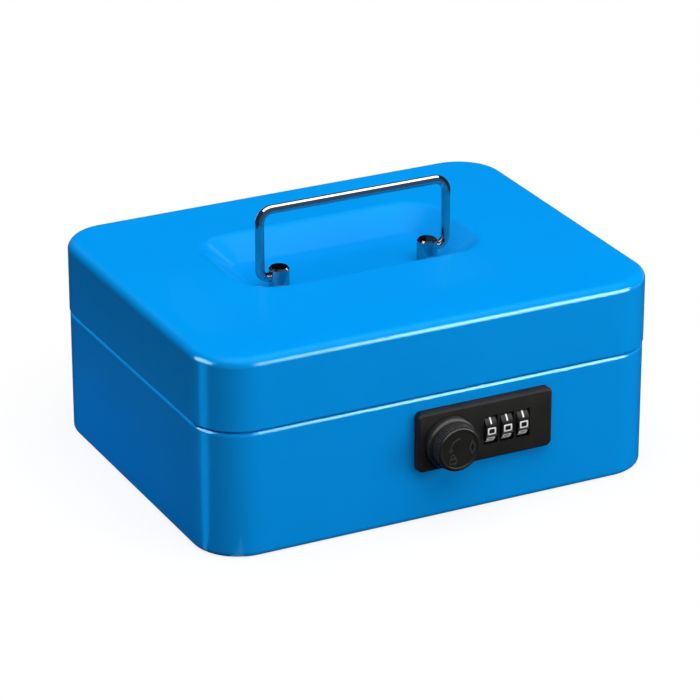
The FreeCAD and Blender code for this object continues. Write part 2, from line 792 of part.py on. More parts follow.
def make_lock_body():
    body = new_body("lock_body")
    plate = new_sketch(body, "plate_outline", "XZ_Plane", -FRONT)
    rounded_rectangle(plate, dim.lock_middle_x, dim.lock_middle_z, dim.plate_width, dim.plate_height,
                      dim.plate_corner)
    pad(body, plate, dim.plate_thickness)
    chamfer(body, dim.plate_chamfer, upright_face(PLATE_FRONT))
    case = new_sketch(body, "case_outline", "XZ_Plane", -FRONT)
    rectangle(case, dim.lock_middle_x, dim.lock_middle_z, dim.case_width, dim.case_height)
    pad(body, case, dim.case_depth, backwards=True)
    seat = new_sketch(body, "knob_seat", "XZ_Plane", -PLATE_FRONT)
    circle(seat, dim.knob_x, KNOB_Z, dim.collar_diameter / 2 + dim.knob_seat_play)
    pocket(body, seat, dim.knob_seat_depth)
    bore = new_sketch(body, "spindle_bore", "XZ_Plane", -PLATE_FRONT)
    circle(bore, dim.knob_x, KNOB_Z, dim.spindle_diameter / 2 + dim.spindle_clearance)
    pocket(body, bore, dim.plate_thickness + dim.case_depth)
    well = new_sketch(body, "dial_well", "YZ_Plane", WELLS_LEFT)
    open_slot(well, DIAL_Y, DIAL_Z, WELL_RADIUS, CASE_BACK)
    first_well = pocket(body, well, dim.window_width, backwards=True)
    along(body, first_well, "X_Axis", dim.dial_pitch, DIAL_COUNT)
    axle_slot = new_sketch(body, "axle_slot", "YZ_Plane", WELLS_LEFT - dim.axle_overhang)
    open_slot(axle_slot, DIAL_Y, DIAL_Z, dim.axle_diameter / 2 + dim.axle_clearance, CASE_BACK)
    pocket(body, axle_slot, WELLS_WIDTH + 2 * dim.axle_overhang, backwards=True)
    depth = CASE_BACK - WELLS_BACK
    rear = new_sketch(body, "rear_space", "XZ_Plane", -CASE_BACK)
    rectangle(rear, WELLS_LEFT + WELLS_WIDTH / 2, DIAL_Z, WELLS_WIDTH, 2 * WELL_RADIUS)
    pocket(body, rear, depth, backwards=True)
    channel = new_sketch(body, "fence_channel", "XZ_Plane", -CASE_BACK)
    channel_width = WELLS_LEFT + dim.fence_end_gap - FENCE_LEFT + dim.fence_play
    rectangle(channel, FENCE_LEFT - dim.fence_play + channel_width / 2, DIAL_Z, channel_width,
              dim.fence_height + 2 * dim.fence_play)
    pocket(body, channel, depth, backwards=True)
    chamber = new_sketch(body, "disc_chamber", "XZ_Plane", -CASE_BACK)
    circle(chamber, dim.knob_x, KNOB_Z, dim.disc_diameter / 2 + dim.disc_play)
    pocket(body, chamber, CASE_BACK - DISC_FRONT + dim.disc_play, backwards=True)
    spring_hole = new_sketch(body, "spring_hole", "XZ_Plane", -CASE_BACK)
    circle(spring_hole, dim.spring_x, DIAL_Z, dim.spring_diameter / 2 + dim.spring_clearance)
    pocket(body, spring_hole, depth + dim.spring_hole_depth, backwards=True)
    plate_pilots = new_sketch(body, "plate_pilots", "XZ_Plane", -FRONT)
    for x, z in corner_places(dim.lock_screw_spacing_x, dim.lock_screw_spacing_z):
        circle(plate_pilots, x, z, dim.screw_diameter / 2)
    pocket(body, plate_pilots, dim.screw_length - dim.sheet_steel, backwards=True)
    cover_pilots = new_sketch(body, "cover_pilots", "XZ_Plane", -CASE_BACK)
    for x, z in corner_places(dim.cover_screw_spacing_x, dim.cover_screw_spacing_z):
        circle(cover_pilots, x, z, dim.screw_diameter / 2)
    pocket(body, cover_pilots, dim.cover_screw_length - dim.cover_thickness, backwards=True)


def make_lock_cover():
    body = new_body("lock_cover")
    outline = new_sketch(body, "cover_outline", "XZ_Plane", -CASE_BACK)
    rectangle(outline, dim.lock_middle_x, dim.lock_middle_z, dim.case_width, dim.case_height)
    pad(body, outline, dim.cover_thickness, backwards=True)
    holes = new_sketch(body, "cover_holes", "XZ_Plane", -CASE_BACK)
    circle(holes, dim.knob_x, KNOB_Z, dim.spindle_diameter / 2 + dim.spindle_clearance)
    slot_width = dim.slide_stem + dim.slide_travel + 2 * dim.slide_play
    rectangle(holes, dim.slide_x + dim.slide_travel / 2, SLIDE_Z, slot_width,
              dim.slide_stem + 2 * dim.slide_play)
    for x, z in corner_places(dim.cover_screw_spacing_x, dim.cover_screw_spacing_z):
        circle(holes, x, z, dim.screw_diameter / 2)
    pocket(body, holes, dim.cover_thickness)
    sinks = new_sketch(body, "screw_sinks", "XZ_Plane", -COVER_BACK)
    for x, z in corner_places(dim.cover_screw_spacing_x, dim.cover_screw_spacing_z):
        circle(sinks, x, z, dim.screw_head_diameter / 2)
    pocket(body, sinks, dim.cover_thickness / 2, backwards=True)


def make_screws(name, places, head_front, head_height, length, forward):
    """Screws whose heads sit at one depth and whose shanks run towards the front."""
    screws = []
    for x, z in places:
        head = rod(name + "_head", dim.screw_head_diameter / 2, head_height, x, head_front, z, ALONG_Y)
        shank = rod(name + "_shank", dim.screw_diameter / 2, length, x, head_front - forward, z, ALONG_Y)
        screws.append(fuse(name + "_one", [head, shank]))
    node(group(name, screws), name)


def make_lock_screws():
    inside = FRONT + dim.sheet_steel
    make_screws("lock_screws", corner_places(dim.lock_screw_spacing_x, dim.lock_screw_spacing_z),
                inside, dim.screw_head_height, dim.screw_length + dim.screw_head_height / 2, dim.screw_length)
    sunk = dim.cover_thickness / 2
    make_screws("cover_screws", corner_places(dim.cover_screw_spacing_x, dim.cover_screw_spacing_z),
                COVER_BACK - sunk, sunk, dim.cover_screw_length, dim.cover_screw_length - sunk)


def make_lock_knob():
    body = new_body("lock_knob")
    profile = new_sketch(body, "knob_profile", "YZ_Plane")
    bore = dim.spindle_diameter / 2
    collar = dim.collar_diameter / 2
    root = dim.grip_diameter / 2 - dim.grip_tooth_depth
    collar_front = KNOB_BACK - dim.collar_height
    bore_end = KNOB_BACK - dim.spindle_grip
    dish = KNOB_FACE + dim.face_dish
    rim = root - dim.grip_edge - dim.face_rim
    polygon(profile, [
        (KNOB_BACK, bore), (KNOB_BACK, collar), (collar_front, collar), (collar_front, root),
        (KNOB_FACE + dim.grip_edge, root), (KNOB_FACE, root - dim.grip_edge), (KNOB_FACE, rim),
        (dish, rim - dim.face_dish), (dish, 0), (bore_end, 0), (bore_end, bore)])
    revolve(body, profile, "H_Axis")

    def collar_edge(edge):
        return upright_face(collar_front)(edge) and near(edge.BoundBox.ZMax, collar)

    fillet(body, dim.collar_round, collar_edge)
    tooth = new_sketch(body, "grip_tooth", "XZ_Plane", -collar_front)
    half = dim.grip_tooth_width / 2
    tip = dim.grip_diameter / 2
    polygon(tooth, [(-half, root - dim.grip_tooth_depth), (half, root - dim.grip_tooth_depth),
                    (half, root), (half / 2, tip), (-half / 2, tip), (-half, root)])
    first = pad(body, tooth, dim.grip_length - dim.grip_edge)
    around(body, first, "Y_Axis", int(dim.grip_tooth_count.value))
    pointer = new_sketch(body, "pointer", "XZ_Plane", -dish)
    middle = dim.pointer_offset
    side = dim.pointer_width / 2
    top = dim.pointer_height / 2
    shoulder = dim.pointer_shoulder
    polygon(pointer, [(middle, -top), (middle + side, shoulder), (middle, top), (middle - side, shoulder)])
    pocket(body, pointer, dim.pointer_depth)
    place(body, dim.knob_x, 0, KNOB_Z)


def make_knob_spindle():
    body = new_body("knob_spindle")
    profile = new_sketch(body, "spindle_profile", "YZ_Plane")
    radius = dim.spindle_diameter / 2
    disc = dim.disc_diameter / 2
    tip = KNOB_BACK - dim.spindle_grip
    polygon(profile, [(tip, 0), (tip, radius), (DISC_FRONT, radius), (DISC_FRONT, disc), (DISC_BACK, disc),
                      (DISC_BACK, radius), (CAM_FRONT, radius), (CAM_FRONT, 0)])
    revolve(body, profile, "H_Axis")
    tang = new_sketch(body, "spindle_tang", "XZ_Plane", -CAM_FRONT)
    rectangle(tang, as_size(0), as_size(0), dim.tang_size, dim.tang_size)
    pad(body, tang, dim.cam_thickness, backwards=True)
    notches = new_sketch(body, "disc_notches", "XZ_Plane", -DISC_FRONT)
    middle = disc - dim.fence_disc_overlap / 2
    length = dim.fence_disc_overlap + 2 * dim.fence_play
    rectangle(notches, middle, FENCE_ABOVE_KNOB, length, dim.disc_notch_width)
    rectangle(notches, -FENCE_ABOVE_KNOB, middle, dim.disc_notch_width, length)
    pocket(body, notches, dim.disc_notch_depth)
    thread = new_sketch(body, "cam_screw_hole", "XZ_Plane", -CAM_BACK)
    circle(thread, 0, 0, dim.cam_screw_diameter / 2)
    pocket(body, thread, dim.cam_screw_length, backwards=True)
    place(body, dim.knob_x, 0, KNOB_Z)


def make_latch_cam():
    body = new_body("latch_cam")
    hub = new_sketch(body, "cam_hub", "XZ_Plane", -CAM_FRONT)
    circle(hub, 0, 0, dim.cam_hub_diameter / 2)
    pad(body, hub, dim.cam_thickness, backwards=True)
    arm = new_sketch(body, "cam_arm", "XZ_Plane", -CAM_FRONT)
    ring_sector(arm, dim.tang_size, CLAW_INNER + dim.cam_claw_width / 2, ARM_START_ANGLE, CLAW_END_ANGLE)
    pad(body, arm, dim.cam_thickness, backwards=True)
    claw = new_sketch(body, "cam_claw", "XZ_Plane", -CAM_FRONT)
    ring_sector(claw, CLAW_INNER, CLAW_OUTER, CLAW_START_ANGLE, CLAW_END_ANGLE)
    pad(body, claw, dim.cam_thickness, backwards=True)
    hole = new_sketch(body, "cam_hole", "XZ_Plane", -CAM_FRONT)
    opening = dim.tang_size + 2 * dim.tang_clearance
    rectangle(hole, as_size(0), as_size(0), opening, opening)
    pocket(body, hole, dim.cam_thickness)
    place(body, dim.knob_x, 0, KNOB_Z)


def make_cam_screw():
    head = rod("cam_screw_head", dim.cam_screw_head_diameter / 2, dim.cam_screw_head_height,
               dim.knob_x, CAM_BACK, KNOB_Z, ALONG_Y)
    shank = rod("cam_screw_shank", dim.cam_screw_diameter / 2,
                dim.cam_screw_length + dim.cam_screw_head_height / 2,
                dim.knob_x, CAM_BACK - dim.cam_screw_length, KNOB_Z, ALONG_Y)
    node(fuse("cam_screw", [head, shank]), "cam_screw")


def make_striker():
    body = new_body("striker")
    thick = dim.striker_thickness
    wall = -LID_DEPTH / 2 + dim.sheet_steel
    arm = RIM_TOP + dim.striker_arm_rise
    flange_top = dim.box_height - dim.lid_edge_radius - dim.striker_edge_gap
    lug_top = KNOB_Z + dim.striker_lug_rise
    lug_front = CAM_FRONT - dim.cam_play
    profile = new_sketch(body, "striker_profile", "YZ_Plane", dim.knob_x - dim.striker_width / 2)
    outer = [(wall, arm), (STRIKER_BACK, arm + thick), (STRIKER_BACK, lug_top - thick)]
    inner = [(wall + thick, arm + thick), (STRIKER_BACK - thick, arm), (STRIKER_BACK - thick, lug_top)]
    polygon(profile, [
        outer[0], (wall, flange_top), (wall + thick, flange_top), inner[0], outer[1], outer[2],
        (lug_front, lug_top - thick), (lug_front, lug_top), inner[2], inner[1]])
    pad(body, profile, dim.striker_width)

    def bend_at(places):
        def chosen(edge):
            spot = edge.CenterOfMass
            along_x = edge.BoundBox.XLength > dim.striker_width.value / 2
            return along_x and any(near(spot.y, y) and near(spot.z, z) for y, z in places)
        return chosen

    fillet(body, dim.striker_bend, bend_at(inner))
    fillet(body, dim.striker_bend + thick, bend_at(outer))


# Dials and code mechanism

def make_number_dial(index):
    body = new_body("number_dial_%d" % (index + 1))
    ring = new_sketch(body, "dial_ring", "YZ_Plane")
    radius = dim.dial_diameter / 2
    bore = dim.hub_diameter / 2 + dim.hub_clearance
    circle(ring, 0, 0, radius)
    circle(ring, 0, 0, bore)
    pad(body, ring, dim.dial_width)
    ridge = new_sketch(body, "dial_ridge", "YZ_Plane")
    half = dim.ridge_width / 2
    tip = radius + dim.ridge_height
    polygon(ridge, [(-half, radius - dim.ridge_height), (half, radius - dim.ridge_height),
                    (half, radius), (half / 2, tip), (-half / 2, tip), (-half, radius)])
    first = pad(body, ridge, dim.dial_width)
    around(body, first, "X_Axis", DIGITS)
    keyway = new_sketch(body, "dial_keyway", "YZ_Plane")
    depth = dim.key_height + dim.key_clearance + dim.hub_clearance
    rectangle(keyway, as_size(0), bore, dim.key_width + 2 * dim.key_clearance, 2 * depth)
    pocket(body, keyway, dim.dial_width, backwards=True)
    place(body, dial_left(index), DIAL_Y, DIAL_Z)


def make_code_hub(index):
    body = new_body("code_hub_%d" % (index + 1))
    sleeve = new_sketch(body, "hub_sleeve", "YZ_Plane")
    bore = dim.axle_diameter / 2 + dim.axle_clearance
    radius = dim.hub_diameter / 2
    disc = dim.gate_disc_diameter / 2
    circle(sleeve, 0, 0, radius)
    circle(sleeve, 0, 0, bore)
    pad(body, sleeve, dim.dial_width)
    key = new_sketch(body, "hub_key", "YZ_Plane")
    rectangle(key, as_size(0), radius, dim.key_width, 2 * dim.key_height)
    pad(body, key, dim.dial_width)
    gate_disc = new_sketch(body, "gate_disc", "YZ_Plane", dim.dial_width)
    circle(gate_disc, 0, 0, disc)
    circle(gate_disc, 0, 0, bore)
    pad(body, gate_disc, dim.gate_disc_thickness)
    gate = new_sketch(body, "gate", "YZ_Plane", dim.dial_width)
    rectangle(gate, disc, as_size(0), 2 * dim.gate_depth, dim.fence_height + 2 * dim.gate_play)
    pocket(body, gate, dim.gate_disc_thickness, backwards=True)
    place(body, dial_left(index), DIAL_Y, DIAL_Z)


def make_dial_axle():
    node(rod("dial_axle", dim.axle_diameter / 2, WELLS_WIDTH + 2 * dim.axle_overhang,
             WELLS_LEFT - dim.axle_overhang, DIAL_Y, DIAL_Z, ALONG_X), "dial_axle")


def make_fence_bar():
    body = new_body("fence_bar")
    outline = new_sketch(body, "fence_outline", "XY_Plane", DIAL_Z - dim.fence_height / 2)
    tip = DIAL_Y + dim.gate_disc_diameter / 2 + dim.fence_play
    right = WELLS_LEFT + WELLS_WIDTH - dim.fence_play
    corners = [(FENCE_LEFT, FENCE_BACK), (FENCE_LEFT, FENCE_FRONT)]
    for index in range(DIAL_COUNT):
        middle = dial_left(index) + dim.dial_width + dim.gate_disc_thickness / 2
        start = middle - dim.fence_tooth / 2
        finish = middle + dim.fence_tooth / 2
        corners += [(start, FENCE_FRONT), (start, tip), (finish, tip), (finish, FENCE_FRONT)]
    corners += [(right, FENCE_FRONT), (right, FENCE_BACK)]
    polygon(outline, corners)
    pad(body, outline, dim.fence_height)


def make_fence_spring():
    length = dim.spring_hole_depth + FENCE_FRONT - WELLS_BACK - 2 * dim.spring_wire
    coil = doc.addObject("Part::Helix", "spring_coil")
    bind(coil, "Radius", (dim.spring_diameter - dim.spring_wire) / 2)
    bind(coil, "Height", length)
    bind(coil, "Pitch", length / dim.spring_turns)
    wire = doc.addObject("Part::Circle", "spring_section")
    bind(wire, "Radius", dim.spring_wire / 2)
    place(wire, (dim.spring_diameter - dim.spring_wire) / 2, 0, 0, Rotation(Vector(1, 0, 0), 90))
    sweep = doc.addObject("Part::Sweep", "fence_spring")
    doc.recompute()
    sweep.Sections = [wire]
    sweep.Spine = (coil, ["Edge1"])
    sweep.Solid = True
    sweep.Frenet = True
    place(sweep, dim.spring_x, WELLS_BACK - dim.spring_hole_depth + dim.spring_wire, DIAL_Z, ALONG_Y)
    node(sweep, "fence_spring")


def make_detent_spring():
    body = new_body("detent_spring")
    outline = new_sketch(body, "detent_outline", "XY_Plane", DIAL_Z - WELL_RADIUS)
    back = CASE_BACK - dim.disc_play
    strip = back - dim.detent_strip
    corners = [(WELLS_LEFT + dim.fence_play, back), (WELLS_LEFT + dim.fence_play, strip)]
    for index in range(DIAL_COUNT):
        middle = dial_left(index) + dim.dial_width / 2
        start = middle - dim.detent_finger / 2
        finish = middle + dim.detent_finger / 2
        corners += [(start, strip), (start, DIAL_Y), (finish, DIAL_Y), (finish, strip)]
    right = WELLS_LEFT + WELLS_WIDTH - dim.fence_play
    corners += [(right, strip), (right, back)]
    polygon(outline, corners)
    pad(body, outline, dim.detent_thickness)


def make_code_change_slide():
    half_head = dim.slide_head_width / 2
    half_height = dim.slide_head_height / 2
    half_stem = dim.slide_stem / 2
    head_front = COVER_BACK + dim.slide_play
    foot_back = CASE_BACK - dim.slide_play
    head = box("slide_head", (dim.slide_x - half_head, dim.slide_x + half_head),
               (head_front, head_front + dim.slide_head_thickness),
               (SLIDE_Z - half_height, SLIDE_Z + half_height))
    foot = box("slide_foot", (dim.slide_x - half_head, dim.slide_x + half_head),
               (foot_back - dim.slide_foot_thickness, foot_back),
               (SLIDE_Z - half_height, SLIDE_Z + half_height))
    stem = box("slide_stem_block", (dim.slide_x - half_stem, dim.slide_x + half_stem),
               (foot_back - dim.slide_foot_thickness / 2, head_front + dim.slide_head_thickness / 2),
               (SLIDE_Z - half_stem, SLIDE_Z + half_stem))
    node(fuse("code_change_slide", [head, foot, stem]), "code_change_slide")


# Coin tray

def make_coin_tray():
    body = new_body("coin_tray")
    inset = dim.shoulder_radius + KNUCKLE_RADIUS + dim.tray_clearance
    width = dim.box_width - 2 * inset
    depth = dim.box_depth - 2 * inset
    bottom = RIM_TOP - dim.tray_depth
    block = new_sketch(body, "tray_block", "XY_Plane", bottom)
    rounded_rectangle(block, 0, 0, width, depth, dim.corner_radius - inset)
    pad(body, block, dim.tray_depth + dim.tray_tab_thickness)
    tabs = new_sketch(body, "tray_tabs", "XY_Plane", RIM_TOP)
    rounded_rectangle(tabs, 0, 0, dim.box_width - 2 * (dim.shoulder_radius + dim.tray_tab_inset),
                      dim.tray_tab_length, dim.tray_tab_corner)
    pad(body, tabs, dim.tray_tab_thickness)
    top = RIM_TOP + dim.tray_tab_thickness
    notch_left = dim.knob_x - CLAW_OUTER - dim.tray_lock_clearance
    notch_right = dim.lock_middle_x + dim.case_width / 2 + dim.tray_lock_clearance
    notch_back = STRIKER_BACK + dim.tray_lock_clearance
    notch = new_sketch(body, "lock_notch", "XY_Plane", top)
    front = FRONT - dim.tray_wall
    polygon(notch, [(notch_left, front), (notch_right, front), (notch_right, notch_back),
                    (notch_left, notch_back)])
    pocket(body, notch, dim.tray_depth + dim.tray_tab_thickness)
    wall = dim.tray_wall
    cup_corner = dim.corner_radius - inset - wall
    side = width / 2 - wall
    rear_wall = depth / 2 - wall
    split = dim.tray_row_split
    column = (2 * side - 2 * wall) / 3
    cups = []
    for index in range(3):
        left = index * (column + wall) - side
        cups.append((left, left + column, split + wall / 2, rear_wall))
    cups.append((-side, notch_left - wall, -rear_wall, split - wall / 2))
    cups.append((notch_left, notch_right, notch_back + wall, split - wall / 2))
    cups.append((notch_right + wall, side, -rear_wall, split - wall / 2))
    hollows = new_sketch(body, "cups", "XY_Plane", top)
    for left, right, near_side, far_side in cups:
        rounded_rectangle(hollows, (left + right) / 2, (near_side + far_side) / 2, right - left,
                          far_side - near_side, cup_corner)
    pocket(body, hollows, dim.tray_depth + dim.tray_tab_thickness - wall)
    fillet(body, dim.cup_floor_radius, level(bottom + wall))


# Assembly

make_base_shell()
make_lid_shell()
for hinge_side, hinge_name in ((-1, "left"), (1, "right")):
    make_hinge(hinge_side, hinge_name)
    make_handle_post(hinge_side, hinge_name)
make_post_washers()
make_handle_bail()
make_lock_body()
make_lock_cover()
make_lock_screws()
make_lock_knob()
make_knob_spindle()
make_latch_cam()
make_cam_screw()
make_striker()
for dial in range(DIAL_COUNT):
    make_number_dial(dial)
    make_code_hub(dial)
make_dial_axle()
make_fence_bar()
make_fence_spring()
make_detent_spring()
make_code_change_slide()
make_coin_tray()
doc.recompute()

for thing in doc.Objects:
    if "Invalid" in thing.State or "Error" in thing.State:
        raise RuntimeError("%s failed: %s" % (thing.Label, thing.State))
for piece in nodes:
    if piece.Shape.isNull() or not piece.Shape.isValid():
        raise RuntimeError("%s has no valid shape" % piece.Label)

os.makedirs("parts", exist_ok=True)
for piece in nodes:
    piece.Shape.exportStep("parts/%s.step" % piece.Label)
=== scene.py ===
import json
import math

import bmesh
import bpy
from mathutils import Matrix, Vector


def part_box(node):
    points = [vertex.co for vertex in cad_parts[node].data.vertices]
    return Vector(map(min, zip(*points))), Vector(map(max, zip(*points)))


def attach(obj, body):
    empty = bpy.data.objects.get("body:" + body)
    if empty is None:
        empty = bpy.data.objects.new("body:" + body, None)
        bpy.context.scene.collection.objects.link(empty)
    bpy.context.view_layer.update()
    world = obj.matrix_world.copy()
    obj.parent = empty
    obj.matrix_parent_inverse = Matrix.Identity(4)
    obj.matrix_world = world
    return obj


# Steel cash box with a bail handle and a three-dial combination lock, on a white studio floor.
# Metres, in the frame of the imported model: X is the width, -Y the front and +Z up.

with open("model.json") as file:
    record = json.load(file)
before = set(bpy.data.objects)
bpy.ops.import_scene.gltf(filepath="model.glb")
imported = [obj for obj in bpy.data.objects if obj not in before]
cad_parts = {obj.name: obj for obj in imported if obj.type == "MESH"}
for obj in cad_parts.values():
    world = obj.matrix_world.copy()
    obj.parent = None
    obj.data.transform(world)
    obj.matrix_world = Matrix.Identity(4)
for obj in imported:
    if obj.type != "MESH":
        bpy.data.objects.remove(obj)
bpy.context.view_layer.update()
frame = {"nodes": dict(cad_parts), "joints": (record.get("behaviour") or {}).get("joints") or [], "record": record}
nodes = frame["nodes"]
pivots = {joint["name"]: joint["pos_m"] for joint in frame["joints"] if "pos_m" in joint}
scene = bpy.context.scene
MM = 0.001
WHITE = (1, 1, 1)

# The middle of the knob's dished face
DISH_DEPTH = 0.3 * MM
KNOB_FACE = Vector((pivots["knob_turn"][0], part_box("lock_knob")[0][1] + DISH_DEPTH, pivots["knob_turn"][2]))


# Camera

IMAGE_SIZE = 700
FOCAL_PIXELS = 3747
SENSOR_WIDTH = 36
CAMERA_AZIMUTH = math.radians(-26.70)
CAMERA_ELEVATION = math.radians(23.71)
CAMERA_DISTANCE = 1.5453
CAMERA_TARGET = Vector((0, 0, 0.0415))
# How far the picture is moved right and up, measured at the object
PICTURE_RIGHT = 0.0015
PICTURE_UP = -0.0003


def direction(azimuth, elevation):
    """The unit vector at an azimuth, counted from the front towards the right side, and an elevation."""
    return Vector((math.sin(azimuth) * math.cos(elevation), -math.cos(azimuth) * math.cos(elevation),
                   math.sin(elevation)))


def make_camera():
    back = direction(CAMERA_AZIMUTH, CAMERA_ELEVATION)
    right = Vector((math.cos(CAMERA_AZIMUTH), math.sin(CAMERA_AZIMUTH), 0))
    up = back.cross(right)
    camera = bpy.data.objects.new("camera", bpy.data.cameras.new("camera"))
    camera.data.sensor_width = SENSOR_WIDTH
    camera.data.lens = FOCAL_PIXELS / IMAGE_SIZE * SENSOR_WIDTH
    place = CAMERA_TARGET + back * CAMERA_DISTANCE - right * PICTURE_RIGHT - up * PICTURE_UP
    camera.matrix_world = Matrix.Translation(place) @ Matrix((right, up, back)).transposed().to_4x4()
    scene.collection.objects.link(camera)
    scene.camera = camera


# Materials: linear colours, and textures laid out in the piece's own metres

BLUE_DEEP = (0.0, 0.312, 0.872)
BLUE = (0.0, 0.330, 0.905)
BLUE_SHEEN = (0.45, 0.82, 1.0)
CHROME_DIM = (0.40, 0.405, 0.415)
CHROME_BRIGHT = (0.46, 0.465, 0.475)
BLACK = (0.016, 0.0155, 0.015)
BLACK_LIGHT = (0.022, 0.0212, 0.0205)
DIAL_BLACK = (0.006, 0.006, 0.006)
TRAY_BLACK = (0.018, 0.018, 0.019)
TRAY_LIGHT = (0.026, 0.026, 0.028)
# Painted shade for the grooves of the knob's grip, and a painted highlight for its tooth tips
GROOVE_PAINTED_SHADE = (0.003, 0.003, 0.003)
TOOTH_PAINTED_HIGHLIGHT = (0.046, 0.043, 0.041)
# The knob's marks are its own black plastic; these paler greys are a painted highlight on them
MARK_PAINTED_HIGHLIGHT = (0.045, 0.043, 0.041)
MARK_PAINTED_HIGHLIGHT_PALE = (0.065, 0.062, 0.059)
NUMBER_DULL = (0.86, 0.86, 0.85)
NUMBER_WHITE = (0.96, 0.96, 0.95)
ZINC_COOL = (0.60, 0.62, 0.66)
ZINC_WARM = (0.72, 0.72, 0.70)
BRASS_DARK = (0.030, 0.025, 0.020)
BRASS_LIGHT = (0.075, 0.060, 0.045)

KNOB_GRAIN = {"rough": 0.42, "smooth": 0.32, "grain_size": 0.28 * MM, "grain_depth": 0.008 * MM}
# Radii over which the knob's teeth go from groove to tip, from painted shade to painted highlight, and its grip
# from face to side
TOOTH_RADII = (9.20 * MM, 9.42 * MM)
SIDE_RADII = (8.9 * MM, 9.0 * MM)
# Depths behind the knob's face over which the grip ends
GRIP_DEPTHS = (4.7 * MM, 4.9 * MM)

# Places of the colour mix node's sockets
MIX_FACTOR, MIX_FIRST, MIX_SECOND = 0, 6, 7
MIX_RESULT = 2


def grey(level):
    return (level, level, level)


class Shader:
    """A node material that is put together from textures, one call at a time."""

    def __init__(self, name):
        self.material = bpy.data.materials.new(name)
        self.material.use_nodes = True
        self.tree = self.material.node_tree
        self.surface = self.tree.nodes["Principled BSDF"]
        self.place = self.tree.nodes.new("ShaderNodeTexCoord").outputs["Object"]
        self.base_colour = None

    def link(self, output, socket):
        self.tree.links.new(output, socket)

    def set(self, **values):
        """Constants on the shader's own sockets, such as metallic or specular_tint."""
        for name, value in values.items():
            words = name.replace("_", " ")
            socket = next(s for s in self.surface.inputs if s.name.lower() == words)
            socket.default_value = value

    def noise(self, size, detail, roughness=0.5, stretch=(1, 1, 1)):
        """Cloudy values whose lumps are about one size across."""
        mapping = self.tree.nodes.new("ShaderNodeMapping")
        mapping.inputs["Scale"].default_value = stretch
        self.link(self.place, mapping.inputs["Vector"])
        texture = self.tree.nodes.new("ShaderNodeTexNoise")
        texture.inputs["Scale"].default_value = 1 / size
        texture.inputs["Detail"].default_value = detail
        texture.inputs["Roughness"].default_value = roughness
        self.link(mapping.outputs["Vector"], texture.inputs["Vector"])
        return texture.outputs["Fac"]

    def cells(self, size):
        """Distances from the middles of cells that are about one size across."""
        texture = self.tree.nodes.new("ShaderNodeTexVoronoi")
        texture.inputs["Scale"].default_value = 1 / size
        self.link(self.place, texture.inputs["Vector"])
        return texture.outputs["Distance"]

    def vector(self, operation, first, second=None):
        node = self.tree.nodes.new("ShaderNodeVectorMath")
        node.operation = operation
        self.link(first, node.inputs[0])
        if second is not None:
            node.inputs[1].default_value = second
        return node.outputs

    def around(self, middle):
        """How far a point lies from the Y axis through the middle, and how far behind the middle."""
        offset = self.vector("SUBTRACT", self.place, middle)["Vector"]
        flat = self.vector("MULTIPLY", offset, (1, 0, 1))["Vector"]
        parts = self.tree.nodes.new("ShaderNodeSeparateXYZ")
        self.link(offset, parts.inputs["Vector"])
        return self.vector("LENGTH", flat)["Value"], parts.outputs["Y"]

    def product(self, first, second):
        node = self.tree.nodes.new("ShaderNodeMath")
        node.operation = "MULTIPLY"
        self.link(first, node.inputs[0])
        self.link(second, node.inputs[1])
        return node.outputs["Value"]

    def ramp(self, value, first, second, start=0.3, finish=0.7):
        """One colour up to the start, another from the finish on, and a blend between."""
        node = self.tree.nodes.new("ShaderNodeValToRGB")
        for element, position, colour in zip(node.color_ramp.elements, (start, finish), (first, second)):
            element.position = position
            element.color = (*colour, 1)
        self.link(value, node.inputs["Fac"])
        return node.outputs["Color"]

    def spread(self, value, low, high, start=0.3, finish=0.7):
        """One number up to the start, another from the finish on, and a blend between."""
        node = self.tree.nodes.new("ShaderNodeMapRange")
        node.inputs["From Min"].default_value = start
        node.inputs["From Max"].default_value = finish
        node.inputs["To Min"].default_value = low
        node.inputs["To Max"].default_value = high
        self.link(value, node.inputs["Value"])
        return node.outputs["Result"]

    def blend(self, kind, factor, first, second):
        """Mix two colours, each a constant or another node's output, as the factor is."""
        node = self.tree.nodes.new("ShaderNodeMix")
        node.data_type = "RGBA"
        node.blend_type = kind
        for place, value in ((MIX_FACTOR, factor), (MIX_FIRST, first), (MIX_SECOND, second)):
            if isinstance(value, bpy.types.NodeSocket):
                self.link(value, node.inputs[place])
            elif isinstance(value, float):
                node.inputs[place].default_value = value
            else:
                node.inputs[place].default_value = (*value, 1)
        return node.outputs[MIX_RESULT]

    def bump(self, *layers):
        """Stack height layers, each a pair of value and height."""
        normal = None
        for value, height in layers:
            node = self.tree.nodes.new("ShaderNodeBump")
            node.inputs["Distance"].default_value = height
            self.link(value, node.inputs["Height"])
            if normal is not None:
                self.link(normal, node.inputs["Normal"])
            normal = node.outputs["Normal"]
        self.link(normal, self.surface.inputs["Normal"])

    def colour(self, output):
        self.base_colour = output
        self.link(output, self.surface.inputs["Base Color"])

    def roughness(self, output):
        self.link(output, self.surface.inputs["Roughness"])


def powder_coat():
    """Smooth blue powder coat with a faint orange peel."""
    paint = Shader("blue_powder_coat")
    clouds = paint.noise(60 * MM, detail=3)
    peel = paint.noise(1.3 * MM, detail=2)
    grain = paint.noise(0.25 * MM, detail=1)
    tone = paint.ramp(clouds, BLUE_DEEP, BLUE)
    shade = paint.ramp(grain, grey(0.6), WHITE, start=0.35, finish=0.6)
    paint.colour(paint.blend("MULTIPLY", 0.05, tone, shade))
    paint.roughness(paint.spread(peel, 0.19, 0.23))
    paint.bump((peel, 0.012 * MM), (grain, 0.003 * MM))
    paint.set(specular_ior_level=0.5, specular_tint=(*BLUE_SHEEN, 1))
    return paint.material


